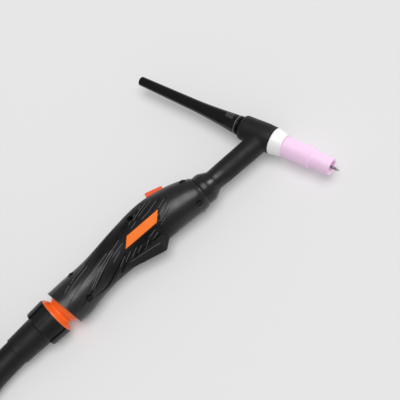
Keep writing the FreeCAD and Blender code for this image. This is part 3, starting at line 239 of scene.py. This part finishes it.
def cap_gloss():
    """Polished black, with one satin flat by the seat, whose lighter base colour is a painted highlight.
    """
    paint = Paint("cap_gloss", (0.0025, 0.0025, 0.0028), 0.10, specular=0.3)
    paint.tint(paint.spread(paint.noise(120.0, 5.0), 0.0, 0.6), (0.005, 0.005, 0.0055))
    paint.bump(paint.noise(90.0, 2.0), 0.05, 0.0004)
    inside = paint.window(paint.along(CAP_WAY, CAP_SEAT), FLAT_START, FLAT_END, FLAT_BLEND)
    facing = paint.spread(paint.along(FLAT_WAY, CAP_SEAT), 0.0, 1.0, FLAT_INNER, FLAT_OUTER)
    satin_flat_and_highlight = paint.product(inside, facing)
    # Painted highlight: a lighter base colour on the flat; the roughness and shine set after it are the
    # satin finish.
    paint.tint(satin_flat_and_highlight, (0.012, 0.012, 0.0125))
    paint.link(paint.spread(satin_flat_and_highlight, 0.11, 0.42, 0.0, 1.0), paint.shader.inputs["Roughness"])
    paint.link(paint.spread(satin_flat_and_highlight, 0.3, 1.0, 0.0, 1.0), paint.shader.inputs["Specular IOR Level"])
    return paint.made


def white_gasket():
    paint = Paint("white_gasket", (0.93, 0.93, 0.92), 0.36)
    paint.tint(paint.spread(paint.noise(70.0, 4.0), 0.0, 0.5), (0.86, 0.86, 0.85))
    paint.roughen(0.30, 0.44)
    paint.bump(paint.noise(900.0, 2.0), 0.06, 0.0001)
    return paint.made


def pink_alumina():
    paint = Paint("pink_alumina", (1.0, 0.71, 0.95), 0.40)
    paint.tint(paint.spread(paint.noise(55.0, 5.0), 0.0, 0.6), (0.97, 0.66, 0.90))
    paint.tint(paint.spread(paint.noise(1400.0, 2.0), 0.0, 0.35, 0.6, 0.7), (0.66, 0.42, 0.56))
    paint.roughen(0.34, 0.48, 200.0)
    paint.bump(paint.noise(2600.0, 3.0), 0.12, 0.0001)
    return paint.made


def tungsten():
    paint = Paint("tungsten", (0.30, 0.29, 0.29), 0.34, metallic=1.0)
    paint.tint(paint.spread(paint.noise(700.0, 3.0), 0.0, 0.7), (0.18, 0.175, 0.175))
    paint.roughen(0.26, 0.46, 1500.0, 3.0, (1.0, 0.2, 1.0))
    paint.bump(paint.noise(3000.0, 2.0, (1.0, 0.15, 1.0)), 0.15, 0.0001)
    return paint.made


def orange_plastic(name, colour, deep, roughness):
    paint = Paint(name, colour, roughness)
    paint.tint(paint.spread(paint.noise(80.0, 4.0), 0.0, 0.6), deep)
    paint.roughen(roughness - 0.05, roughness + 0.08, 130.0)
    paint.bump(paint.noise(2400.0, 2.0), 0.10, FINE_GRAIN)
    return paint.made


def metal(name, colour, dull, roughness, streak=(1.0, 1.0, 1.0)):
    paint = Paint(name, colour, roughness, metallic=1.0)
    paint.tint(paint.spread(paint.noise(160.0, 4.0), 0.0, 0.8), dull)
    paint.roughen(roughness - 0.08, roughness + 0.14, 500.0, 4.0, streak)
    paint.bump(paint.noise(1800.0, 2.0, streak), 0.10, 0.0001)
    return paint.made


def sleeve_cover():
    """Smooth black hose cover with a faint woven skin and long soft creases."""
    paint = Paint("sleeve_cover", (0.004, 0.004, 0.0043), 0.52, specular=0.3)
    paint.tint(paint.spread(paint.noise(30.0, 4.0), 0.0, 0.6), (0.009, 0.009, 0.0095))
    paint.roughen(0.42, 0.60, 70.0)
    weave = paint.node("ShaderNodeTexVoronoi")
    weave.inputs["Scale"].default_value = 900.0
    paint.link(paint.place, weave.inputs["Vector"])
    paint.bump(weave.outputs["Distance"], 0.22, 0.0003)
    paint.bump(paint.noise(45.0, 2.0), 0.25, 0.0015)
    return paint.made


def plain_moulding(name, colour, roughness):
    paint = Paint(name, colour, roughness)
    deep = tuple(part * 0.8 for part in colour)
    paint.tint(paint.spread(paint.noise(60.0, 4.0), 0.0, 0.6), deep)
    paint.roughen(roughness - 0.06, roughness + 0.08)
    paint.bump(paint.noise(1500.0, 2.0), 0.15, 0.0001)
    return paint.made


# Black oxide screw heads, made darker than bare oxide as painted shade in their recesses.
def black_oxide_and_recess_shade():
    paint = Paint("screw_oxide_and_recess_shade", (0.002, 0.002, 0.0021), 0.30, specular=0.3)
    paint.tint(paint.spread(paint.noise(900.0, 3.0), 0.0, 0.8), (0.006, 0.006, 0.0062))
    paint.roughen(0.24, 0.40, 1200.0)
    return paint.made


GRIP = grip_plastic()
HEAD_RUBBER = head_rubber()
BOOT = moulded_black("boot_rubber", 0.005, 0.48, 1500.0, 0.20, 0.3).made
SLEEVE = sleeve_cover()
HOSE = moulded_black("hose_rubber", 0.014, 0.55, 1200.0, 0.25).made
ORANGE = orange_plastic("plate_orange", (0.98, 0.20, 0.010), (0.90, 0.165, 0.008), 0.34)
TRIGGER = orange_plastic("trigger_orange", (0.93, 0.12, 0.035), (0.84, 0.09, 0.025), 0.34)
KNUCKLE = orange_plastic("knuckle_orange", (0.95, 0.15, 0.018), (0.86, 0.11, 0.012), 0.30)
COLLAR = moulded_black("collar_plastic", 0.004, 0.40, 2600.0, 0.22, 0.3).made
BRASS = metal("brass", (0.72, 0.50, 0.20), (0.55, 0.36, 0.14), 0.30)
COPPER = metal("copper", (0.72, 0.33, 0.19), (0.50, 0.22, 0.13), 0.34)
OXIDE_AND_RECESS_SHADE = black_oxide_and_recess_shade()

FINISHES = {
    "torch_head_cover": HEAD_RUBBER, "torch_head_core": COPPER, "neck_tube": COPPER,
    "cup_gasket": white_gasket(), "collet_body": COPPER, "collet": COPPER,
    "gas_nozzle": pink_alumina(), "tungsten_electrode": tungsten(), "back_cap": cap_gloss(),
    "back_cap_o_ring": plain_moulding("o_ring", (0.01, 0.01, 0.01), 0.5),
    "handle_shell_upper": GRIP, "handle_shell_lower": GRIP, "handle_screws": OXIDE_AND_RECESS_SHADE,
    "name_plate_upper": ORANGE, "name_plate_lower": ORANGE, "trigger_button": TRIGGER,
    "microswitch": plain_moulding("switch_case", (0.03, 0.03, 0.035), 0.45),
    "switch_plunger": plain_moulding("switch_ivory", (0.72, 0.68, 0.55), 0.4),
    "inner_power_cable": HOSE, "cable_crimp": BRASS,
    "ball_seat_ring": plain_moulding("seat_ring", (0.62, 0.60, 0.55), 0.35),
    "ball_knuckle": KNUCKLE, "collar_nut": COLLAR, "sleeve_boot": BOOT,
    "lead_sleeve": SLEEVE, "lead_coil": SLEEVE, "lead_coil_exit": SLEEVE,
    "power_cable_tail": HOSE, "gas_hose_tail": HOSE, "control_cable_tail": HOSE,
    "lead_end_cuff": BOOT, "power_plug_body": BOOT, "power_plug_pin": BRASS,
    "gas_hose_ferrule": BRASS, "gas_nipple": BRASS,
    "control_plug_body": plain_moulding("plug_case", (0.018, 0.018, 0.02), 0.42),
    "control_plug_ring": plain_moulding("plug_ring", (0.014, 0.014, 0.015), 0.36),
    "control_plug_pins": BRASS,
}


def paint_all(thing, finish):
    """Give every slot of an object one material."""
    thing.data.materials.clear()
    thing.data.materials.append(finish)


for name, finish in FINISHES.items():
    paint_all(nodes[name], finish)

# Cords: the lead with its coil, and the three tails, at their real length

SLEEVE_RADIUS = 0.012
COIL_CENTRE = Vector((-0.345, 0.089, 0.0))


def coil_point(radius, degrees, height):
    """A point beside the coil's axis, in millimetres and degrees."""
    angle = math.radians(degrees)
    return COIL_CENTRE + Vector((radius * math.cos(angle), radius * math.sin(angle), height)) / 1000


def millimetres(*numbers):
    return Vector(numbers) / 1000


LEAD_ROUTE = [
    millimetres(-136.3, 0.35, 17.57),
    millimetres(-162.3, -0.1, 15.98),
    millimetres(-190.5, -3.5, 14),
    millimetres(-217.4, -11, 12.6),
    millimetres(-247, -24, 12),
]
COIL_EXIT = [(136, 79.2, 57.2), (136, 67.7, 57.2), (136, 56.1, 57.2), (136, 44.5, 57.2),
             (136, 33, 57.2), (136, 21.4, 57.2), (135.8, 9.8, 57.2), (135.4, -1.8, 58.8),
             (134.7, -13.3, 60.4), (133.7, -24.9, 62), (132.9, -36, 62)]

# The winding's columns and layers in millimetres, one cord apart, and where each stretch of it ends:
# turns from the start, radius and height
INNER, OUTER = 124, 148
LOW, HIGH = 12, 36
APART = 24
WINDING = [(0.0, OUTER, LOW), (0.85, OUTER, LOW), (1.0, INNER, LOW), (1.72, INNER, LOW),
           (1.87, INNER, HIGH), (2.57, INNER, HIGH), (2.72, OUTER, HIGH), (3.42, OUTER, HIGH)]
RISE = (3.42, 3.57)
RISE_TURN = 60
COIL_START = -64.0
POINTS_PER_TURN = 20
ROUND_OFF = 1.006


def wound():
    """Two columns of turns side by side, then the rise round the inner one on to the top."""
    points = []
    for step in range(int(RISE[1] * POINTS_PER_TURN) + 1):
        turn = step / POINTS_PER_TURN
        if turn >= RISE[0]:
            lift = math.radians(RISE_TURN * (turn - RISE[0]) / (RISE[1] - RISE[0]))
            radius = INNER + APART * math.cos(lift)
            height = HIGH + APART * math.sin(lift)
        else:
            legs = zip(WINDING, WINDING[1:])
            start, end = next(leg for leg in legs if leg[0][0] <= turn < leg[1][0])
            share = (turn - start[0]) / (end[0] - start[0])
            ease = share * share * (3 - 2 * share)
            radius = start[1] + (end[1] - start[1]) * ease
            height = start[2] + (end[2] - start[2]) * ease
        points.append(coil_point(radius * ROUND_OFF, COIL_START - 360 * turn, height))
    return points


def round_curve(name, radius, sides):
    """Curve data with a round section, still without a spline."""
    data = bpy.data.curves.new(name, "CURVE")
    data.dimensions = "3D"
    data.bevel_depth = radius
    data.bevel_resolution = sides
    return data


def place_curve(name, data, finish, body):
    made = bpy.data.objects.new(name, data)
    bpy.context.scene.collection.objects.link(made)
    data.materials.append(finish)
    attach(made, body)
    return made


def cord_curve(name, points, radius, finish):
    """A round cord on one smooth NURBS spline."""
    data = round_curve(name, radius, 6)
    data.resolution_u = 8
    data.use_fill_caps = True
    spline = data.splines.new("NURBS")
    spline.points.add(len(points) - 1)
    for point, place in zip(spline.points, points):
        point.co = (*place, 1.0)
    spline.order_u = 3
    spline.use_endpoint_u = True
    return place_curve(name, data, finish, "lead")


exit_route = [coil_point(*spot) for spot in COIL_EXIT]
lead = cord_curve("lead", LEAD_ROUTE + wound() + exit_route, SLEEVE_RADIUS, SLEEVE)
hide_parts("lead_sleeve", "lead_coil", "lead_coil_exit")

# Each tail: radius and length in metres, how far across and up it leaves the cuff in millimetres, its far
# end, its points and the pieces on it. The control plug's ring isn't among them, since it turns by itself.
TAILS = {
    "power_cable": (0.006, 0.26, -6.2, -2.6, "plug", [
        (143.5, -64.3, 58), (145.6, -72.9, 55.5), (143.5, -81.6, 54.2), (139.8, -90.4, 54.2),
        (137, -99.4, 54.2), (135.4, -108.6, 54.2), (134.7, -118, 54.2), (134.4, -127.3, 54.2),
        (134.2, -136.7, 57.4), (131.3, -146.1, 61.2), (125.5, -155.6, 61.2)],
        ["power_plug_body", "power_plug_pin"]),
    "gas_hose": (0.004, 0.22, 7.6, -2.6, "fitting", [
        (155.2, -61.7, 57.5), (155.8, -69.7, 54), (154.2, -78.2, 52.2), (153, -86.4, 52.2),
        (152.3, -94.7, 52.2), (151.9, -103, 52.2), (151.7, -111.6, 53.9), (151.3, -119.9, 55.2),
        (150.2, -128.3, 55.2)], ["gas_hose_ferrule", "gas_nipple"]),
    "control_cable": (0.0025, 0.18, 1.0, 8.2, "connector", [
        (146.8, -63.5, 70.2), (139.1, -72, 69.1), (127.1, -80.5, 65.2), (118.3, -89.9, 60.7),
        (112.8, -101, 57.8), (109.7, -112.8, 57.6), (106, -124.8, 57.6)],
        ["control_plug_body", "control_plug_pins"]),
}
CUFF_LENGTH = 0.034
TAIL_SINK = 0.008
TAIL_STRAIGHT = 0.012
cuff_way = (exit_route[-1] - exit_route[-2]).normalized()
cuff_side = Vector((-cuff_way.y, cuff_way.x, 0))
cuff_end = exit_route[-1] + cuff_way * CUFF_LENGTH
for name, (radius, length, across, up, end, spots, plugs) in TAILS.items():
    offset = cuff_side * across / 1000 + millimetres(0, 0, up)
    first = cuff_end + offset - cuff_way * TAIL_SINK
    straight = cuff_end + offset + cuff_way * TAIL_STRAIGHT
    tail = cord_curve(name, [first, straight] + [coil_point(*spot) for spot in spots], radius, HOSE)
    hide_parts(name + "_tail")

# Fine raised lines on both shells and two thin rings on the cap. Their materials are lighter than the
# skins under them, to stand for the glint on such a narrow edge.

RIDGE = moulded_black("ridge_plastic", 0.10, 0.34, 3200.0, 0.2).made
BEAD = Paint("cap_bead", (0.32, 0.32, 0.33), 0.16).made
# Lines on the shells, as points along X and Y in millimetres
RIDGES = [
    [(26.1, 13.3), (12.4, 8.9), (5.1, 8.0)], [(32.4, 9.7), (20.8, 5.3)], [(31.8, 5.6), (17.7, 0.0)],
    [(26.7, 0.5), (15.2, -4.5)], [(22.5, -3.2), (14.7, -5.7)], [(22.9, 17.8), (4.6, 11.9)],
    [(18.5, 19.8), (-0.9, 12.0)], [(12.6, 20.2), (-6.1, 12.0)], [(1.0, 10.0), (-6.5, 7.6)],
    [(-20.1, 3.0), (-34.5, 0.1)], [(-20.7, 7.2), (-36.8, 3.3)], [(-26.2, -0.4), (-37.2, -3.9)],
    [(-25.8, -5.7), (-34.9, -8.8)], [(-18.5, -5.6), (-28.8, -9.0)], [(-13.0, -6.7), (-22.4, -9.5)],
    [(-6.8, -7.0), (-16.2, -10.2)], [(-0.7, -8.0), (-9.7, -11.8)], [(9.0, -5.6), (-0.1, -7.5)],
    [(9.2, -8.2), (1.5, -9.9)], [(-56.7, 12.6), (-71.2, 8.6), (-85.7, 2.3)],
    [(-55.8, 9.3), (-70.0, 5.3), (-84.3, -0.3)], [(-35.8, 6.0), (-48.9, 3.1), (-69.0, -3.4)],
    [(-31.8, 5.2), (-50.1, -1.0), (-66.4, -9.1)], [(-30.5, 3.3), (-49.1, -2.8), (-65.7, -10.0)],
    [(4.6, -16.6), (-4.8, -14.6), (-16.4, -12.2), (-25.5, -10.4)],
]
RIDGE_RADIUS = 0.00028
RIDGE_SINK = 0.00008
RIDGE_STEP = 0.0012
RIDGE_TIP = 0.35
ABOVE_SHELL = 0.2

# Rings on the cap: distances from its seat in millimetres, half width, and degrees between points
CAP_RINGS = (1.1, 4.6)
CAP_RING_RADIUS = 0.00022
CAP_RING_STEP = 6
BESIDE_CAP = 0.04


def surface_of(name):
    mesh = nodes[name].data
    return BVHTree.FromPolygons([vertex.co for vertex in mesh.vertices],
                                [tuple(face.vertices) for face in mesh.polygons])


def even_points(line):
    """Points along a polyline in millimetres, at even steps in metres."""
    points = []
    for start, end in zip(line, line[1:]):
        start, end = millimetres(*start, 0), millimetres(*end, 0)
        count = max(2, round((end - start).length / RIDGE_STEP))
        points += [start.lerp(end, step / count) for step in range(count)]
    return points + [millimetres(*line[-1], 0)]


def lay_on(surface, points, side):
    """Drop points on a shell from above (side 1) or from below (side -1), sunk a little."""
    laid = []
    for point in points:
        above = Vector((point.x, point.y, side * ABOVE_SHELL))
        place, normal = surface.ray_cast(above, Vector((0, 0, -side)))[:2]
        if place:
            outward = normal if normal.z * side > 0 else -normal
            laid.append(place - outward * RIDGE_SINK)
    return laid


def beads(name, lines, radius, finish, body, closed=False):
    """Thin round lines in one curve object. Those that aren't closed taper at their ends."""
    data = round_curve(name, radius, 2)
    for line in lines:
        spline = data.splines.new("POLY")
        spline.points.add(len(line) - 1)
        spline.use_cyclic_u = closed
        for index, (point, place) in enumerate(zip(spline.points, line)):
            point.co = (*place, 1.0)
            if not closed and index in (0, len(line) - 1):
                point.radius = RIDGE_TIP
    return place_curve(name, data, finish, body)


for side, shell in ((1, "handle_shell_upper"), (-1, "handle_shell_lower")):
    surface = surface_of(shell)
    laid = [lay_on(surface, even_points(line), side) for line in RIDGES]
    long_enough = [line for line in laid if len(line) > 2]
    beads("ridges_" + shell, long_enough, RIDGE_RADIUS, RIDGE, "handle")


def cap_ring(surface, along):
    """Points round the cap at a distance from its seat, on its surface."""
    ring = []
    for degrees in range(0, 360, CAP_RING_STEP):
        turn = math.radians(degrees)
        way = Vector(CAP_SIDE) * math.cos(turn) + Vector((0, 0, math.sin(turn)))
        centre = Vector(CAP_SEAT) + Vector(CAP_WAY) * along / 1000
        place = surface.ray_cast(centre + way * BESIDE_CAP, -way)[0]
        ring.append(place - way * RIDGE_SINK)
    return ring


cap_surface = surface_of("back_cap")
rings = [cap_ring(cap_surface, along) for along in CAP_RINGS]
beads("cap_rings", rings, CAP_RING_RADIUS, BEAD, "cap", closed=True)

# Floor, lights and world

FLOOR_SHADE = 0.79
FLOOR_SIZE = 16.0
WORLD_STRENGTH = 0.36

# Lamps: direction, apparent size in degrees, strength, and whether it casts a shadow. The rim lamp gives
# the bulb of the neck its glint, and casts none, so that the floor shows one shadow.
LAMPS = {
    "key": ((-0.08, 0.14, -1.0), 40.0, 1.62, True),
    "rim": ((-0.87, 0.06, -0.50), 16.0, 0.90, False),
}


def pale_floor():
    mesh = bpy.data.meshes.new("floor")
    half = FLOOR_SIZE / 2
    mesh.from_pydata([(-half, -half, 0), (half, -half, 0), (half, half, 0), (-half, half, 0)], [],
                     [(0, 1, 2, 3)])
    floor = bpy.data.objects.new("floor", mesh)
    bpy.context.scene.collection.objects.link(floor)
    paint = Paint("floor", (FLOOR_SHADE, FLOOR_SHADE, FLOOR_SHADE), 0.9, specular=0.2)
    mesh.materials.append(paint.made)


def sun(name, way, spread, power, shadow):
    """A far lamp that shines along a direction."""
    data = bpy.data.lights.new(name, "SUN")
    data.energy = power
    data.angle = math.radians(spread)
    data.use_shadow = shadow
    light = bpy.data.objects.new(name, data)
    bpy.context.scene.collection.objects.link(light)
    light.rotation_euler = Vector(way).to_track_quat("-Z", "Y").to_euler()


def light_scene():
    world = bpy.data.worlds.new("world")
    bpy.context.scene.world = world
    world.use_nodes = True
    background = world.node_tree.nodes["Background"]
    background.inputs["Color"].default_value = (1.0, 1.0, 1.0, 1.0)
    background.inputs["Strength"].default_value = WORLD_STRENGTH
    for name, lamp in LAMPS.items():
        sun(name, *lamp)
    bpy.context.scene.view_settings.view_transform = "Standard"


make_camera()
pale_floor()
light_scene()
